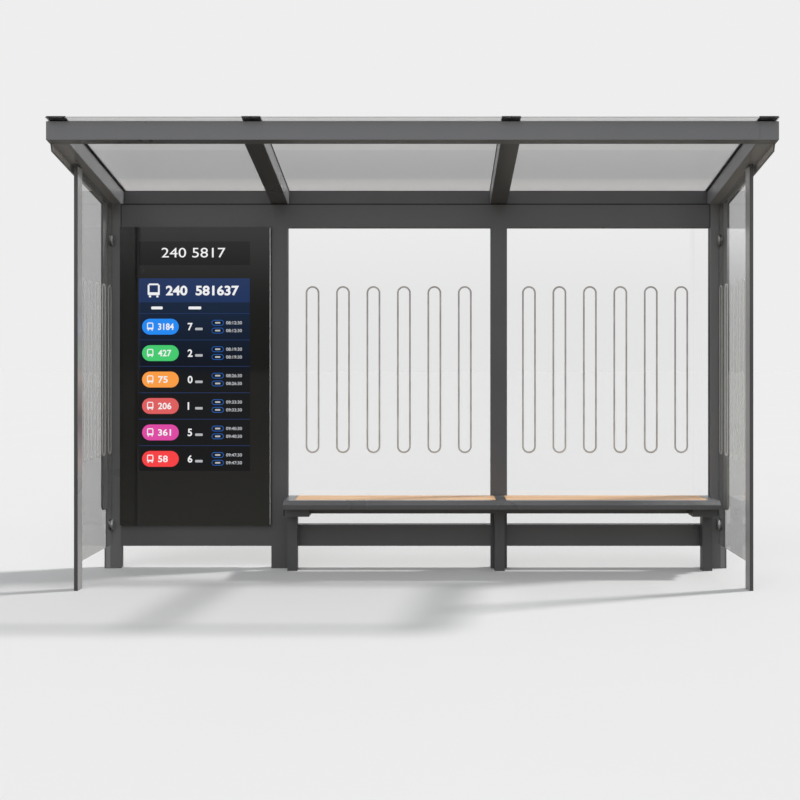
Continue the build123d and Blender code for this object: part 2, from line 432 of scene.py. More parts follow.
def clamp_finish():
    """Blasted steel inside the glass, and dark paint outside it."""
    material, shader = new_material("clamp_steel")
    vector = object_vector(shader)
    from_middle = combine("ABSOLUTE", part_of(vector, "X"))
    outside = combine("GREATER_THAN", from_middle, middle_of(side_right).x)
    tone = mixed(outside, (0.46, 0.46, 0.455), (0.05, 0.05, 0.052))
    put(shader, {"Base Color": tone, "Metallic": 1.0})
    rough_and_bumpy(shader, noise(vector, 700.0), 0.50, 0.62, 0.02 * MM)
    return material


rubber_black = rubber()
clamp_steel = clamp_finish()
strip_steel = brushed("strip_steel", (0.74, 0.74, 0.73), 0.42)
screw_steel = brushed("screw_steel", (0.50, 0.50, 0.49), 0.35)
print("rubber and steel ready")


# %% Print and display glass
def clouded_print(name, stops, roughness):
    """An opaque coat that is clouded between two tones."""
    material, shader = new_material(name)
    clouded = ramp(noise(object_vector(shader), 12.0), stops)
    put(shader, {"Base Color": clouded, "Roughness": roughness})
    return material, shader, clouded


def frosted_print(name, colour, cover):
    """A thin white coat that scatters some light and lets the rest straight through."""
    stops = [(0.0, tuple(0.94 * part for part in colour)), (1.0, colour)]
    material, shader, clouded = clouded_print(name, stops, 0.6)
    coat = layered(0.5, shader, add_node(shader, "BsdfTranslucent", {"Color": clouded}))
    surface(layered(cover, add_node(shader, "BsdfTransparent"), coat))
    return material


# how high the painted reflection of the floor reaches on the display's glass
painted_reflection_height = 0.55


def black_glass():
    """Black glass, with a painted reflection of the floor that makes it lighter towards its foot."""
    material, shader = new_material("black_glass")
    vector = object_vector(shader)
    foot = display_low.z
    floor_reflection = spread(part_of(vector, "Z"), foot, foot + painted_reflection_height, 1.0, 0.0)
    tone = mixed(floor_reflection, (0.018, 0.018, 0.017), (0.034, 0.033, 0.029))
    rough = spread(noise(vector, 4.0, 4.0), 0.35, 0.65, 0.03, 0.07)
    put(shader, {"Base Color": tone, "Roughness": rough, "IOR": 1.5})
    return material


grey_stops = [(0.35, (0.635, 0.605, 0.58)), (0.65, (0.78, 0.745, 0.72))]
grey_print = clouded_print("printed_grey", grey_stops, 0.45)[0]
pale_print = frosted_print("printed_pale", (0.95, 0.95, 0.94), 0.6)
display_black = black_glass()
print("print and display glass ready")

# %% [markdown]
# ## Seat timber
#
# The seat is light timber with its grain along the bench. Grain is noise stretched hard along X, and a
# second, much finer layer adds thin dark pores, which are also a little raised and rougher.

# %% Wood material
def timber():
    material, shader = new_material("seat_timber")
    place = object_vector(shader)
    figure = noise(stretched(place, (1.4, 26.0, 26.0)), 1.0, 5.0, 0.6)
    pores = noise(stretched(place, (14.0, 600.0, 600.0)), 1.0, 3.0, 0.6)
    grain = ramp(figure, [(0.30, (0.80, 0.395, 0.182)), (0.68, (0.99, 0.655, 0.372))])
    put(shader, {"Base Color": tinted(grain, spread(pores, 0.35, 0.6, 0.90, 1.08))})
    rough_and_bumpy(shader, pores, 0.55, 0.40, 0.2 * MM)
    return material


seat_timber = timber()
print("timber ready")

# %% [markdown]
# ## Finishes on the CAD nodes
#
# A CAD node keeps its mesh. It only gets a better material in its slot, chosen by the node's name.

# %% Give each CAD node its finish
finish_by_start = [
    ("rear_glass", back_glass),
    ("side_glass", side_glass),
    ("roof_glass", roof_glass),
    ("roof_cap", cap_paint),
    ("roof_gasket", rubber_black),
    # the paler paints of the edge beams, lips, fins, end posts, lower rails and bench beam are painted light
    (("roof_front_beam", "roof_side_beam"), painted_light_edge),
    (("roof_lip", "post_fin"), painted_light_fin),
    ("front_post", front_post_paint),
    (("rear_post_1", "rear_post_4"), painted_light_end_post),
    ("glass_clamps", clamp_steel),
    ("display_front_glass", display_black),
    ("display_", cabinet_paint),
    ("lower_rail_display", frame_paint),
    (("lower_rail", "bench_lower_beam"), painted_light_low),
    ("bench_", bench_paint),
    ("seat_board", seat_timber),
]


def finish_for(node):
    """The first finish whose words start the node's name, or else the frame's paint."""
    return next((material for start, material in finish_by_start if node.startswith(start)), frame_paint)


for node, thing in nodes.items():
    for slot in thing.material_slots:
        slot.material = finish_for(node)
print({node: thing.material_slots[0].material.name for node, thing in nodes.items()})

# %% [markdown]
# ## Outlines on the glass
#
# Each outline is long and round-ended. It starts as a filled circle, whose upper half moves up and whose
# lower half moves down. An inset leaves the outline, the middle is deleted, and the outline is raised off
# the glass. On the back it is a coat of print, and on the sides a narrower raised bead that shows when it
# is seen along the glass.

# %% Rings on the glass
ring_bottom = 0.7085
ring_top = 1.744
ring_middle_z = (ring_bottom + ring_top) / 2

# width of an outline, width of its line, thickness and print
back_style = (86 * MM, 11 * MM, 0.4 * MM, grey_print)
side_style = (58 * MM, 5 * MM, 3.5 * MM, pale_print)


def raise_faces(bm, faces, step):
    """Gives flat faces a thickness."""
    raised = bmesh.ops.extrude_face_region(bm, geom=faces, use_keep_orig=True)
    points = [item for item in raised["geom"] if isinstance(item, bmesh.types.BMVert)]
    bmesh.ops.translate(bm, verts=points, vec=step)


def slot_ring(bm, centre, across, outward, width, line, thickness):
    """One outline. across runs along the pane, and outward away from it."""
    across, outward = Vector(across), Vector(outward)
    turn = Matrix((across, Vector((0, 0, 1)), outward)).transposed().to_4x4()
    half_step = Matrix.Rotation(math.pi / 48, 4, "Z")
    made = bmesh.ops.create_circle(bm, cap_ends=True, segments=48, radius=width / 2, matrix=turn @ half_step)
    straight = (ring_top - ring_bottom - width) / 2
    for vert in made["verts"]:
        vert.co.z += math.copysign(straight, vert.co.z)
    bmesh.ops.translate(bm, verts=made["verts"], vec=centre)
    face = made["verts"][0].link_faces[0]
    bmesh.ops.inset_individual(bm, faces=[face], thickness=line)
    outline = [f for f in {f for v in made["verts"] for f in v.link_faces} if f is not face]
    bmesh.ops.delete(bm, geom=[face], context="FACES_ONLY")
    raise_faces(bm, outline, outward * thickness)


def ring_row(name, centres, across, outward, style):
    """A row of outlines as one piece."""
    width, line, thickness, material = style
    bm = bmesh.new()
    for centre in centres:
        slot_ring(bm, centre, across, outward, width, line, thickness)
    keep(name, bm, material)


def evenly(middle, count, pitch):
    """Places in a row on both sides of a middle."""
    return [middle + (k - (count - 1) / 2) * pitch for k in range(count)]


def inner_face(box, inward):
    """Where a box's inner face is. inward is 1 at the left and -1 at the right."""
    return box[1].x if inward > 0 else box[0].x


back_ring_count = 6
back_ring_pitch = 0.1887
back_ring_shifts = {"middle": -4 * MM, "right": -18 * MM}  # from the middle of each pane
for name, pane in (("middle", pane_middle), ("right", pane_right)):
    middle = middle_of(pane).x + back_ring_shifts[name]
    front_y = pane[0].y
    spots = [Vector((x, front_y, ring_middle_z)) for x in evenly(middle, back_ring_count, back_ring_pitch)]
    ring_row(f"back_rings_{name}", spots, (1, 0, 0), (0, -1, 0), back_style)

side_ring_count = 5
side_ring_pitch = 0.124
for name, pane, inward in (("left", side_left, 1), ("right", side_right, -1)):
    inner_x, middle = inner_face(pane, inward), middle_of(pane).y
    spots = [Vector((inner_x, y, ring_middle_z)) for y in evenly(middle, side_ring_count, side_ring_pitch)]
    ring_row(f"side_rings_{name}", spots, (0, inward, 0), (inward, 0, 0), side_style)
print("rings", 2 * back_ring_count, "at the back and", 2 * side_ring_count, "at the sides")

# %% [markdown]
# ## Slats on the seat
#
# The CAD has one board for each half of the bench. The real seat is a few slats with narrow gaps. The
# slats replace the boards in the picture, and the boards stay for collision.

# %% Seat slats
slat_count = 3
slat_gap = 5 * MM
slat_thickness = 32 * MM
slat_end_gap = 0.5 * MM
slat_rounding = 3 * MM
for name in ("left", "right"):
    low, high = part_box(f"seat_board_{name}")
    slat_depth = (high.y - low.y - (slat_count - 1) * slat_gap) / slat_count
    bm = bmesh.new()
    for k in range(slat_count):
        near = low.y + k * (slat_depth + slat_gap)
        near_corner = (low.x + slat_end_gap, near, high.z - slat_thickness)
        block(bm, near_corner, (high.x - slat_end_gap, near + slat_depth, high.z), slat_rounding, 3)
    slats = keep(f"seat_slats_{name}", bm, seat_timber)
    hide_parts(f"seat_board_{name}")
print("slats", slat_count, "in each half")

# %% [markdown]
# ## The display
#
# Behind the black glass a lit screen shows a timetable. The words of a real one are left out: plain
# numbers and bars stand in their places. Each shape is a thin plate just in front of the glass that glows
# in its own colour. Numbers start as text, and become a mesh before their place is applied.

# %% Screen materials and shapes
def shown(red, green, blue):
    """A screen colour as numbers up to 255, turned into light."""
    return tuple((value / 255) ** 2.2 for value in (red, green, blue))


def lit(name, colour):
    """A colour on the screen, as it is shown, under glossy glass."""
    material, shader = new_material(name)
    put(shader, {"Base Color": (0.004, 0.004, 0.004), "Roughness": 0.05, "Specular IOR Level": 0.4})
    put(shader, {"Emission Color": shown(*colour), "Emission Strength": 1.0})
    return material


plate_thickness = 0.3 * MM
number_thickness = 0.2 * MM
smallest_side = 0.01 * MM


def rounded_plate(bm, centre_x, centre_z, width, height, radius, front_y):
    """A flat plate on the screen, with round corners."""
    centre = Vector((centre_x, front_y, centre_z))
    half_size = Vector((width, plate_thickness, height)) / 2
    made = block(bm, centre - half_size, centre + half_size)
    if radius > 0:
        corners = [e for e in edges_of(made) if abs(e.verts[0].co.y - e.verts[1].co.y) > plate_thickness / 2]
        soften(bm, corners, min(radius, width / 2 - smallest_side, height / 2 - smallest_side), 8)


def plate_piece(name, material, top, height, front_y):
    """A plate as wide as the screen, hung from its top edge."""
    bm = bmesh.new()
    rounded_plate(bm, screen_middle, top - height / 2, screen_width, height, 0, front_y)
    keep(name, bm, material)


def number_mesh(bm, text, left_x, base_z, height, front_y, boldness=0.02, width=None):
    """Numbers from their left edge and base line, stretched to a width if one is given."""
    curve = bpy.data.curves.new("numbers", "FONT")
    curve.body = text
    curve.offset = boldness
    curve.resolution_u = 4
    maker = add_object("numbers", curve)
    bpy.context.view_layer.update()
    mesh = bpy.data.meshes.new_from_object(maker)
    bpy.data.objects.remove(maker)
    own = bmesh.new()
    own.from_mesh(mesh)
    xs = [vert.co.x for vert in own.verts]
    ys = [vert.co.y for vert in own.verts]
    tall = height / (max(ys) - min(ys))
    wide = tall if width is None else width / (max(xs) - min(xs))
    for vert in own.verts:
        across, up = vert.co.x - min(xs), vert.co.y - min(ys)
        vert.co = Vector((left_x + across * wide, front_y, base_z + up * tall))
    raise_faces(own, list(own.faces), Vector((0, number_thickness, 0)))
    own.to_mesh(mesh)
    own.free()
    bm.from_mesh(mesh)
    bpy.data.meshes.remove(mesh)


def bus_sign(bm, left, bottom, width, height, front_y):
    """A plain sign for a bus: a frame round a window, with two wheels below."""
    bar = width * 0.13
    middle = left + width / 2

    def part(x, up, wide, tall, radius):
        rounded_plate(bm, x, bottom + height * up, wide, height * tall, radius, front_y)

    part(middle, 0.93, width * 0.72, 0.12, bar / 2)
    part(left + bar / 2 + width * 0.06, 0.55, bar, 0.70, bar / 3)
    part(left + width * 0.94 - bar / 2, 0.55, bar, 0.70, bar / 3)
    part(middle, 0.26, width * 0.86, 0.20, bar / 3)
    for side in (-1, 1):
        part(middle + side * width * 0.27, 0.07, bar * 1.2, 0.14, bar / 4)


# %% Where things are on the screen
glass_front_y = display_low.y
layer = 0.6 * MM  # from one layer of the picture to the next
front_of_fields = glass_front_y - layer
front_of_pills = glass_front_y - 2 * layer
front_of_marks = glass_front_y - 3 * layer
front_of_capsule_bars = glass_front_y - 4 * layer
sign_top = display_high.z - 0.089
sign_height = 0.145
screen_top = display_high.z - 0.316
screen_width = 0.683
screen_middle = middle_of((display_low, display_high)).x - 0.005
screen_left = screen_middle - screen_width / 2
band_height = 0.148
label_height = 0.068
row_count = 6
row_height = 0.1626
foot_trim = 8 * MM  # the last row is a little shorter
screen_height = band_height + label_height + row_count * row_height - foot_trim
rows_top = screen_top - band_height - label_height
row_middles = [rows_top - (k + 0.5) * row_height for k in range(row_count)]
print("screen", screen_width, "by", screen_height)

# %% [markdown]
# The field of the screen is dark blue at the top and fades to near black at its foot. A navy band heads
# it, and a dark sign hangs above it.

# %% Screen background
screen_field = lit("screen_background", (0, 0, 0))
shader = screen_field.node_tree.nodes["Principled BSDF"]
up = part_of(object_vector(shader), "Z")
height = spread(up, screen_top - screen_height, screen_top - band_height, 0.0, 1.0)
stops = [(0.0, shown(12, 14, 18)), (0.55, shown(14, 17, 22)), (0.95, shown(20, 36, 58))]
put(shader, {"Emission Color": ramp(height, stops)})
plate_piece("screen_field", screen_field, screen_top, screen_height, front_of_fields)
screen_navy = lit("screen_navy", (30, 50, 90))
plate_piece("screen_band", screen_navy, screen_top, band_height, front_of_pills)
plate_piece("sign_field", lit("sign_dark", (8, 8, 8)), sign_top, sign_height, front_of_fields)
print("screen field, band and sign made")

# %% [markdown]
# Each row has a coloured pill with a bus sign and a route number, a number of minutes with a bar after
# it, and two outlined capsules with a clock time beside each. An outline is a blue plate with a smaller
# dark plate in front. Shapes of one colour are one piece.

# %% Screen rows
pills = [  # name, colour, route number and its width
    ("blue", (37, 135, 240), "3184", 0.097),
    ("green", (69, 200, 110), "427", 0.082),
    ("orange", (249, 154, 67), "75", 0.060),
    ("coral", (220, 92, 92), "206", 0.082),
    ("magenta", (219, 72, 160), "361", 0.080),
    ("red", (245, 64, 67), "58", 0.060),
]
minutes = "720156"
pill_left = screen_left + 0.0205
pill_width = 0.2255
pill_height = 0.0975
pill_middle_x = pill_left + pill_width / 2
icon_left, icon_drop, icon_width, icon_height = pill_left + 0.028, 0.024, 0.044, 0.050
route_left, route_drop, route_height = pill_left + 0.098, 0.0205, 0.041
minutes_left, minutes_drop, minutes_height = screen_left + 0.301, 0.023, 0.046
unit_x, unit_drop = screen_left + 0.370, 0.014
capsule_x, capsule_offset = screen_left + 0.4855, 0.024
clock_left, clock_drop, clock_height, clock_width = screen_left + 0.537, 0.010, 0.020, 0.098
separator_height = 4 * MM
# width, height and corner radius of plates
unit_bar = (0.046, 0.015, 0.004)
capsule = (0.0745, 0.0345, 0.017)
capsule_field = (0.0665, 0.0265, 0.013)
capsule_bar = (0.032, 0.010, 0.003)

marks, faint_marks, capsules, capsule_fields, separators = (bmesh.new() for _ in range(5))
for k, (name, colour, route, route_width) in enumerate(pills):
    middle_z = row_middles[k]
    bm = bmesh.new()
    rounded_plate(bm, pill_middle_x, middle_z, pill_width, pill_height, pill_height / 2, front_of_pills)
    keep(f"pill_{name}", bm, lit(f"pill_{name}", colour))
    bus_sign(marks, icon_left, middle_z - icon_drop, icon_width, icon_height, front_of_marks)
    base_z = middle_z - route_drop
    number_mesh(marks, route, route_left, base_z, route_height, front_of_marks, 0.02, route_width)
    number_mesh(marks, minutes[k], minutes_left, middle_z - minutes_drop, minutes_height, front_of_marks)
    rounded_plate(faint_marks, unit_x, middle_z - unit_drop, *unit_bar, front_of_marks)
    clock = f"0{8 + k // 3}:{12 + 7 * k}:30"
    for line_z in (middle_z + capsule_offset, middle_z - capsule_offset):
        rounded_plate(capsules, capsule_x, line_z, *capsule, front_of_pills)
        rounded_plate(capsule_fields, capsule_x, line_z, *capsule_field, front_of_marks)
        rounded_plate(faint_marks, capsule_x, line_z, *capsule_bar, front_of_capsule_bars)
        base_z = line_z - clock_drop
        number_mesh(faint_marks, clock, clock_left, base_z, clock_height, front_of_marks, width=clock_width)
    row_top = rows_top - k * row_height
    rounded_plate(separators, screen_middle, row_top, screen_width, separator_height, 0, front_of_pills)
for name, shapes, tone, colour in (
    ("screen_capsules", capsules, "screen_line_blue", (36, 92, 170)),
    ("screen_separators", separators, "screen_separator", (36, 54, 92)),
    ("screen_faint_marks", faint_marks, "screen_soft_white", (178, 180, 184)),
    ("screen_capsule_fields", capsule_fields, "screen_capsule_dark", (12, 16, 24)),
):
    keep(name, shapes, lit(tone, colour))
print("screen rows", row_count)

# %% Headings on the screen
heading_left, heading_base = screen_left + 0.167, screen_top - 0.106
sign_left, sign_base = screen_left + 0.140, sign_top - 0.099
label_bars = ((0.077, 0.070), (0.306, 0.078))  # from the screen's left edge, and width
bus_sign(marks, screen_left + 0.050, screen_top - 0.117, 0.084, 0.086, front_of_marks)
number_mesh(marks, "240  581637", heading_left, heading_base, 0.062, front_of_marks, 0.03, 0.449)
number_mesh(marks, "240 5817", sign_left, sign_base, 0.060, front_of_pills, 0.0, 0.393)
for left, width in label_bars:
    bar_x = screen_left + left + width / 2
    rounded_plate(marks, bar_x, rows_top + label_height / 2, width, 0.017, 0.005, front_of_marks)
keep("screen_marks", marks, lit("screen_white", (238, 238, 240)))
print("headings made")

# %% [markdown]
# ## Rubber beads
#
# A rubber bead runs round each back pane, on both faces, where the glass enters the steel.

# %% Rubber beads round the back panes
bead_width = 1.5 * MM
bead_depth = 3 * MM
bead_softness = 0.4 * MM
for name, (low, high) in (("middle", pane_middle), ("right", pane_right)):
    left_x, right_x = low.x + bead_width, high.x - bead_width
    bm = bmesh.new()
    for near, far in ((low.y - bead_depth, low.y), (high.y, high.y + bead_depth)):
        block(bm, (low.x, near, low.z), (left_x, far, high.z), bead_softness)
        block(bm, (right_x, near, low.z), (high.x, far, high.z), bead_softness)
        block(bm, (left_x, near, low.z), (right_x, far, low.z + bead_width), bead_softness)
        block(bm, (left_x, near, high.z - bead_width), (right_x, far, high.z), bead_softness)
    keep(f"pane_bead_{name}", bm, rubber_black)
print("beads made")

# %% [markdown]
# ## Screws
#
# Each roof strip is held down by a row of screws, which stand square on the slope. The clamps have one
# through each cheek. A screw's socket is its top face, inset twice and pushed in.

# %% Screws on the roof strips and the clamps
big_screw = 6 * MM
cap_screw_count = 7
cap_screw_pitch = 0.19
for k, (low, high) in enumerate(caps, 1):
    bm = bmesh.new()
    middle = (low + high) / 2
    for y in evenly(middle.y, cap_screw_count, cap_screw_pitch):
        screw(bm, Vector((middle.x, y, high.z - (y - low.y) * roof_fall)), roof_up, big_screw)
    keep(f"cap_screws_{k}", bm, screw_steel)

clamp_half_height = 35 * MM
clamp_screw_shift = 3 * MM
for side in ("left", "right"):
    low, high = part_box(f"glass_clamps_{side}")
    y = (low.y + high.y) / 2 + clamp_screw_shift
    bm = bmesh.new()
    for z in (low.z + clamp_half_height, high.z - clamp_half_height):
        screw(bm, Vector((low.x, y, z)), (-1, 0, 0), big_screw)
        screw(bm, Vector((high.x, y, z)), (1, 0, 0), big_screw)
    keep(f"clamp_screws_{side}", bm, screw_steel)
print("screws", len(caps) * cap_screw_count, "on the roof and 8 on the clamps")

# %% [markdown]
# ## Painted shade in the gaps, and a joint
#
# The header stands 3 mm clear of the roof frame and of the end posts, and a black strip in each gap is
# painted shade. A hair line on the roof's front beam shows where its corner piece joins it.

# %% Painted shade in the header's gaps, and the joint line
softness = 0.4 * MM
painted_shade_softness = 0.6 * MM
painted_shade_width = 7 * MM
end_painted_shade_width = 5 * MM
painted_shade_proud = 2 * MM
roof_gap = 3 * MM
painted_shade_top = header_high.z + roof_gap * 0.8
painted_shade_front_y = header_low.y - painted_shade_proud
# black strips in the header's gaps: painted shade
bm = bmesh.new()
top_painted_shade = (header_low.x, painted_shade_front_y, painted_shade_top - painted_shade_width)
block(bm, top_painted_shade, (header_high.x, header_low.y, painted_shade_top), painted_shade_softness)
for x in (header_low.x - roof_gap, header_high.x + roof_gap - end_painted_shade_width):
    end_top = (x + end_painted_shade_width, header_low.y, painted_shade_top - painted_shade_width)
    block(bm, (x, painted_shade_front_y, header_low.z), end_top, painted_shade_softness)
keep("header_gap_painted_shade", bm, rubber_black)

seam_half = 0.6 * MM
seam_inset = 12 * MM
seam_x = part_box("rear_post_4")[0].x
seam_low = (seam_x - seam_half, front_low.y - 0.3 * MM, front_low.z + seam_inset)
seam_high = (seam_x + seam_half, front_low.y + 1 * MM, front_high.z - seam_inset)
block_piece("fascia_seam", seam_low, seam_high, 0, cap_paint)
print("seals and joint line made")

# %% [markdown]
# ## Painted light on the posts
#
# Inner faces get painted light, so that they look lighter than the rest of the steel. A thin pale sheet
# lies on the inner face of each front post and of each fin, and a grey sheet of painted light covers the
# end post's face behind the side pane. The fin's lower front corner is round, and so is its sheet's.

# %% Painted light on the front posts, fins and end posts
sides = (("left", 1), ("right", -1))
# painted light: thin pale and grey sheets on the posts and fins
light_sheet_thickness = 1.5 * MM
light_sheet_gap = 2 * MM
fin_corner_radius = 38 * MM


def lower_top(box):
    """The height of a sloping top at its rear end, where it is lowest."""
    low, high = box
    return high.z - (high.y - low.y) * roof_fall


def along_x(start, inward, reach=light_sheet_thickness):
    """The two ends of a stretch that goes inwards from a start, the lower one first."""
    return sorted((start, start + inward * reach))


def posts_painted_light_sheets(side, inward):
    """The painted light sheets of a front post and a fin, and the grey one behind them."""
    low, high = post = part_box(f"front_post_{side}")
    near_x, far_x = along_x(inner_face(post, inward), inward)
    foot = (near_x, low.y + light_sheet_gap, light_sheet_gap)
    head = (far_x, high.y - 1 * MM, lower_top(post) - light_sheet_gap)
    block_piece(f"front_post_painted_light_sheet_{side}", foot, head, softness, painted_light_pale)

    low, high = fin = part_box(f"post_fin_{side}")
    fin_x = inner_face(fin, inward)
    near_x, far_x = along_x(fin_x, inward)
    bm = bmesh.new()
    foot = (near_x, low.y + light_sheet_gap, low.z + light_sheet_gap)
    block(bm, foot, (far_x, high.y, lower_top(fin) - light_sheet_gap))
    corner = low + Vector((0, 3 * MM, 3 * MM))
    round_corner = [e for e in bm.edges if all(v.co.y < corner.y and v.co.z < corner.z for v in e.verts)]
    soften(bm, round_corner, fin_corner_radius, 12)
    keep(f"post_fin_painted_light_sheet_{side}", bm, painted_light_white)

    pane_outer_x = min(abs(side_right[1].x), abs(side_left[0].x))
    near_x, far_x = sorted((-inward * (pane_outer_x + 1 * MM), -inward * (abs(fin_x) - 1 * MM)))
    foot = (near_x, post_front_y - light_sheet_thickness, 4 * MM)
    head = (far_x, post_front_y, post_high.z - 30 * MM)
    block_piece(f"post_face_painted_light_sheet_{side}", foot, head, softness, painted_light_trim)


print("liners on the posts ready")

# %% [markdown]
# ## Painted light and seals under the roof
#
# What lies along the sloping beams is drawn level, with height 0 at the beam's underside, and then each
# point is moved up by what the slope gives at its place. The side beams, the lips and the rafters get
# painted light: a thin pale sheet on the inner face, and on the side beams one underneath too. A black lip
# seals the glass along each rafter.

# %% Painted light and seals along the slope
lip_width = 5 * MM
lip_half_height = 1.5 * MM
lip_drop = 33 * MM
lip_slant = 14 * MM
slope_near_y, slope_far_y = front_high.y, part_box("roof_rear_beam")[0].y


def lay_on_slope(bm, beam):
    """Moves what was drawn from height 0 up to the underside of a sloping beam."""
    low, high = beam
    for vert in bm.verts:
        vert.co.z += low.z + (high.y - vert.co.y) * roof_fall


def sloped_painted_light_sheet(name, beam, low, high, softened):
    """A sheet of painted light that is one block along a sloping beam."""
    bm = bmesh.new()
    block(bm, low, high, softened)
    lay_on_slope(bm, beam)
    keep(name, bm, painted_light_beam)


def slope_painted_light_sheets(side, inward):
    """The painted light sheets of a side beam and of the lip under it."""
    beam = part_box(f"roof_side_beam_{side}")
    inner_x = inner_face(beam, inward)
    near_x, far_x = along_x(inner_x, inward)
    head = (far_x, slope_far_y, lower_top(beam) - beam[0].z - light_sheet_gap)
    sloped_painted_light_sheet(f"side_beam_painted_light_sheet_{side}", beam, (near_x, slope_near_y, light_sheet_gap), head, softness)

    lip_low, lip_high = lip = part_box(f"roof_lip_{side}")
    lip_inner_x = inner_face(lip, inward)
    near_x, far_x = sorted((lip_inner_x, inner_x - inward * 1 * MM))
    foot = (near_x, slope_near_y, -light_sheet_thickness)
    sloped_painted_light_sheet(f"side_beam_soffit_painted_light_sheet_{side}", beam, foot, (far_x, post_front_y, 0), 0)

    near_x, far_x = along_x(lip_inner_x, inward)
    foot = (near_x, lip_low.y + lip_slant, light_sheet_gap - lip_drop)
    bm = bmesh.new()
    block(bm, foot, (far_x, lip_high.y, -light_sheet_thickness))
    for vert in bm.verts:
        if vert.co.y < lip_low.y + 2 * lip_slant and vert.co.z > -lip_drop / 2:
            vert.co.y -= lip_slant * 0.9
    lay_on_slope(bm, beam)
    keep(f"roof_lip_painted_light_sheet_{side}", bm, painted_light_white)


for side, inward in sides:
    posts_painted_light_sheets(side, inward)
    slope_painted_light_sheets(side, inward)

# the rafters get pale sheets of painted light on their inner faces, and black lips that seal the glass
lips = bmesh.new()
for side, inward in sides:
    low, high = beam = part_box(f"roof_rafter_{side}")
    inner_x = inner_face(beam, inward)
    near_x, far_x = along_x(inner_x, inward)
    depth = lower_top(beam) - low.z
    head = (far_x, high.y, depth - light_sheet_gap)
    sloped_painted_light_sheet(f"rafter_painted_light_sheet_{side}", beam, (near_x, low.y, light_sheet_gap), head, softness)

    near_x, far_x = along_x(inner_x, inward, lip_width)
    block(lips, (near_x, low.y, depth - lip_half_height), (far_x, high.y, depth + lip_half_height))
lay_on_slope(lips, beam)  # both rafters have the same slope and height
keep("rafter_seal_lips", lips, rubber_black)
print("liners and rafter seals made")

# %% [markdown]
# ## Bright edges
#
# The front edge of each roof pane is ground, so it is paler than the glass behind it. A bright strip
# guards the right edge of the display's glass.

# %% Glass edges and the display's strip
edge_height = 6 * MM
edge_half_depth = 0.5 * MM
glass_low, glass_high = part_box("roof_glass_2")
bm = bmesh.new()
for left_cap, right_cap in zip(caps, caps[1:]):
    foot = (left_cap[1].x, glass_low.y - edge_half_depth, glass_high.z - edge_height)
    block(bm, foot, (right_cap[0].x, glass_low.y + edge_half_depth, glass_high.z))
keep("roof_glass_ground_edges", bm, ground_edge)

strip_width = 3.5 * MM
strip_thickness = 1.5 * MM
strip_inset = 4 * MM
foot = (display_high.x - strip_width, display_low.y - strip_thickness, display_low.z + strip_inset)
head = (display_high.x, display_low.y, display_high.z - strip_inset)
block_piece("display_edge_strip", foot, head, 0.5 * MM, strip_steel)
print("ground edges and edge strip made")

# %% [markdown]
# ## End plates on the bench
#
# Dark end plates close the outer ends of the bench's brackets.

# %% Bench end plates
plate_depth = 5 * MM
plate_reach = 60 * MM
plate_softness = 1 * MM
bracket_low, bracket_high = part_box("bench_brackets")
bm = bmesh.new()
for x in (bracket_low.x - 7 * MM, bracket_high.x + 2 * MM):
    head = (x + plate_depth, bracket_low.y + plate_reach, bracket_high.z - 4 * MM)
    block(bm, (x, bracket_low.y + 2 * MM, bracket_low.z + 8 * MM), head, plate_softness)
keep("bracket_end_plates", bm, rubber_black)
print("brackets", bracket_low, bracket_high)

# %% [markdown]
# ## The display's back
#
# The cover at the display's back has three hinges, two locks, screws round its edge and louvres that let
# warm air out. A louvre is a block whose upper outer edge is pressed to the cover.

# %% Screws round the cover
cover_low, cover_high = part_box("display_back_cover")
cover_y = cover_high.y
cover_height = cover_high.z - cover_low.z
edge_inset = 14 * MM
left_x, right_x = cover_low.x + edge_inset, cover_high.x - edge_inset
foot_z, head_z = cover_low.z + edge_inset, cover_high.z - edge_inset
spots = [(x, foot_z + row * (head_z - foot_z) / 5) for row in range(6) for x in (left_x, right_x)]
spots += [(left_x + third * (right_x - left_x) / 3, z) for z in (foot_z, head_z) for third in (1, 2)]
bm = bmesh.new()
for x, z in spots:
    screw(bm, Vector((x, cover_y, z)), (0, 1, 0))
keep("cover_screws", bm, screw_steel)
print("cover screws", len(spots))

# %% Louvres
louvre_rows = 6
louvre_pitch = 26 * MM
louvre_width = 0.30
louvre_height = 14 * MM
louvre_depth = 7 * MM
louvre_offset = 0.19  # from the cover's middle to a louvre's
louvre_inset = 0.12  # from the ends of the cover to the louvres


def louvre(bm, middle_x, top_z):
    """A vent hood that stands off the cover along its foot."""
    middle = Vector((middle_x, cover_y + louvre_depth / 2, top_z - louvre_height / 2))
    size = Matrix.Diagonal((louvre_width, louvre_depth, louvre_height, 1))
    made = bmesh.ops.create_cube(bm, size=1, matrix=Matrix.Translation(middle) @ size)
    top_outer = [v for v in made["verts"] if v.co.y > middle.y and v.co.z > middle.z]
    bmesh.ops.translate(bm, verts=top_outer, vec=(0, -louvre_depth * 0.85, 0))
    soften(bm, edges_of(made), 0.8 * MM)


cover_middle = middle_of((cover_low, cover_high)).x
bm = bmesh.new()
for top_z in (cover_high.z - louvre_inset, cover_low.z + louvre_inset + louvre_rows * louvre_pitch):
    for k in range(louvre_rows):
        for middle_x in (cover_middle - louvre_offset, cover_middle + louvre_offset):
            louvre(bm, middle_x, top_z - k * louvre_pitch)
keep("cover_louvres", bm, cabinet_paint)
print("louvres", 4 * louvre_rows)

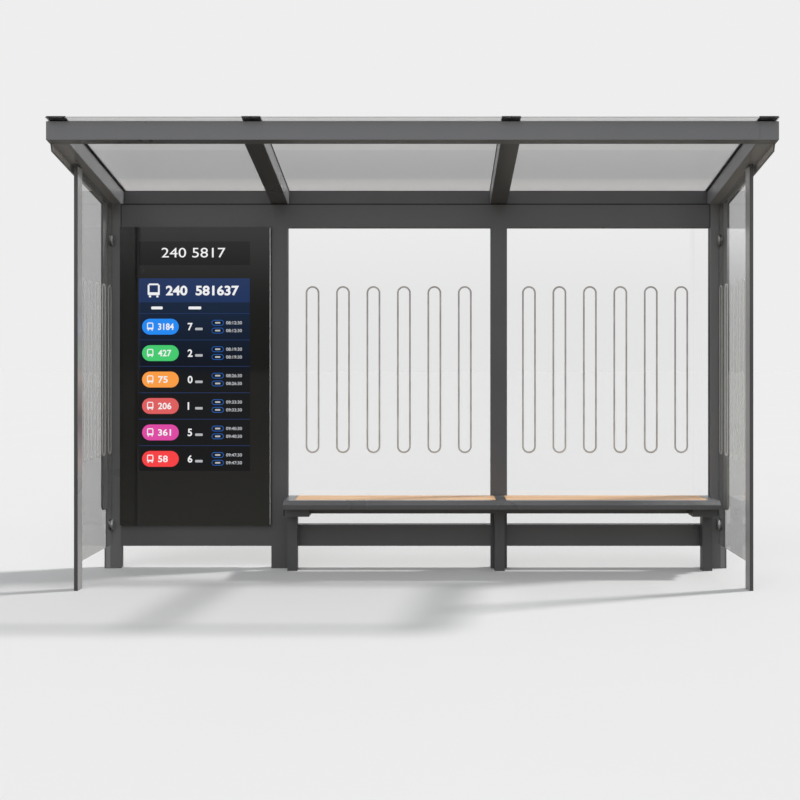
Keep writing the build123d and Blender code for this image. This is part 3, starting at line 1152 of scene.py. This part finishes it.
# %% Hinges and locks
knuckle_height = 30 * MM
knuckle_pitch = 30.5 * MM
knuckle_radius = 6.5 * MM
bm = bmesh.new()
for part_way in (0.12, 0.5, 0.88):
    z = cover_low.z + part_way * cover_height - 45 * MM
    for k in range(3):
        foot = Vector((cover_low.x + 1 * MM, cover_y + 1 * MM, z + k * knuckle_pitch))
        button(bm, foot, (0, 0, 1), knuckle_radius, knuckle_height, 1 * MM, 24)
keep("cover_hinges", bm, cabinet_paint)

lock_inset = 45 * MM
lock_step = 2 * MM
lock_radius = 15 * MM
barrel_radius = 10 * MM
keyhole_depth = 1.2 * MM
bm = bmesh.new()
for part_way in (0.3, 0.7):
    centre = Vector((cover_high.x - lock_inset, cover_y, cover_low.z + part_way * cover_height))
    button(bm, centre, (0, 1, 0), lock_radius, lock_step, 0.8 * MM, 40)
    centre.y += lock_step
    button(bm, centre, (0, 1, 0), barrel_radius, lock_step, 0.6 * MM, 32, keyhole_depth)
keep("cover_locks", bm, screw_steel)
print("cover", cover_low, cover_high)

# %% [markdown]
# ## Floor, light and camera
#
# The floor and the background are one pale tone to the camera and through glass. Scattered light off the
# floor is dimmer and warmer, which sets how light the undersides are. Reflections see a darker floor, and
# a backdrop that is dark at the horizon and pale higher up, so that glass shows a soft fade. A sun a few
# degrees wide stands high at the right, a little behind the shelter. A very wide lamp at the front and
# the world fill the rest.

# %% Floor and world
backdrop_tone = 0.855
bounce_tone = (0.215, 0.195, 0.165)
reflected_floor = (0.30, 0.29, 0.27)
floor_half_size = 200
world_light = (0.985, 0.995, 1.0)
world_strength = 0.39
reflected_backdrop = [  # height of the direction, from level to straight up, and tone
    (0.0, 0.12),
    (0.045, 0.20),
    (0.065, 0.30),
    (0.090, 0.60),
    (0.120, 1.0),
    (1.0, 0.95),
]


def grey(tone):
    return (tone, tone, tone)


def floor_paint():
    material, shader = new_material("studio_floor")
    cloud = noise(object_vector(shader), 0.6, 3.0)
    seen = ramp(cloud, [(0.0, grey(0.845)), (1.0, grey(0.865))])
    path = add_node(shader, "LightPath").outputs
    bounced = mixed(path["Is Diffuse Ray"], seen, bounce_tone)
    after_mirror = combine("GREATER_THAN", path["Glossy Depth"], 0.5)
    tone = mixed(after_mirror, bounced, reflected_floor)
    put(shader, {"Base Color": tone, "Roughness": 0.9, "Specular IOR Level": 0.0})
    return material


bm = bmesh.new()
bmesh.ops.create_grid(bm, x_segments=1, y_segments=1, size=floor_half_size)
floor = mesh_object("floor", bm, floor_paint())

world = bpy.data.worlds.new("studio")
bpy.context.scene.world = world
world.use_nodes = True
lighting = world.node_tree.nodes["Background"]
put(lighting, {"Color": world_light, "Strength": world_strength})
path = add_node(lighting, "LightPath").outputs
by_glass = combine("MAXIMUM", path["Is Glossy Ray"], path["Is Transmission Ray"])
shown_by_glass = combine("MULTIPLY", by_glass, combine("LESS_THAN", path["Diffuse Depth"], 0.5))
seen = combine("ADD", path["Is Camera Ray"], shown_by_glass, use_clamp=True)
direction = add_node(lighting, "TexCoord").outputs["Generated"]
fade = ramp(part_of(direction, "Z"), [(at, grey(tone)) for at, tone in reflected_backdrop])
after_mirror = combine("GREATER_THAN", path["Glossy Depth"], 0.5)
background = add_node(lighting, "Background", {"Color": mixed(after_mirror, grey(backdrop_tone), fade)})
shown_world = layered(seen, lighting, background)
put(world.node_tree.nodes["World Output"], {"Surface": shown_world.outputs[0]})
print("floor and world ready")

# %% Sun
def far_lamp(name, towards, strength, width, colour):
    """A lamp far away. width is how wide it looks, in degrees."""
    data = bpy.data.lights.new(name, "SUN")
    data.energy = strength
    data.angle = math.radians(width)
    data.color = colour
    lamp = add_object(name, data)
    lamp.matrix_world = Vector(towards).to_track_quat("Z", "Y").to_matrix().to_4x4()


far_lamp("sun", (0.718, 0.235, 1.0), 1.82, 5.5, (1.0, 0.99, 0.975))
far_lamp("front_fill", (-0.15, -1.0, 0.9), 0.75, 60, (0.96, 0.98, 1.0))

# %% Camera
camera_distance = 5.82  # in front of the roof's front beam
camera_x = 0.102
camera_height = 1.255
camera_data = bpy.data.cameras.new("camera")
camera_data.lens = 50
camera_data.sensor_width = 36
camera_data.shift_x = -0.04
camera_data.shift_y = -0.04375
camera = add_object("camera", camera_data)
camera.location = (camera_x, front_low.y - camera_distance, camera_height)
camera.rotation_euler = (math.radians(90), 0, 0)
bpy.context.scene.camera = camera
bpy.context.scene.view_settings.view_transform = "Standard"
print("camera at", camera.location)
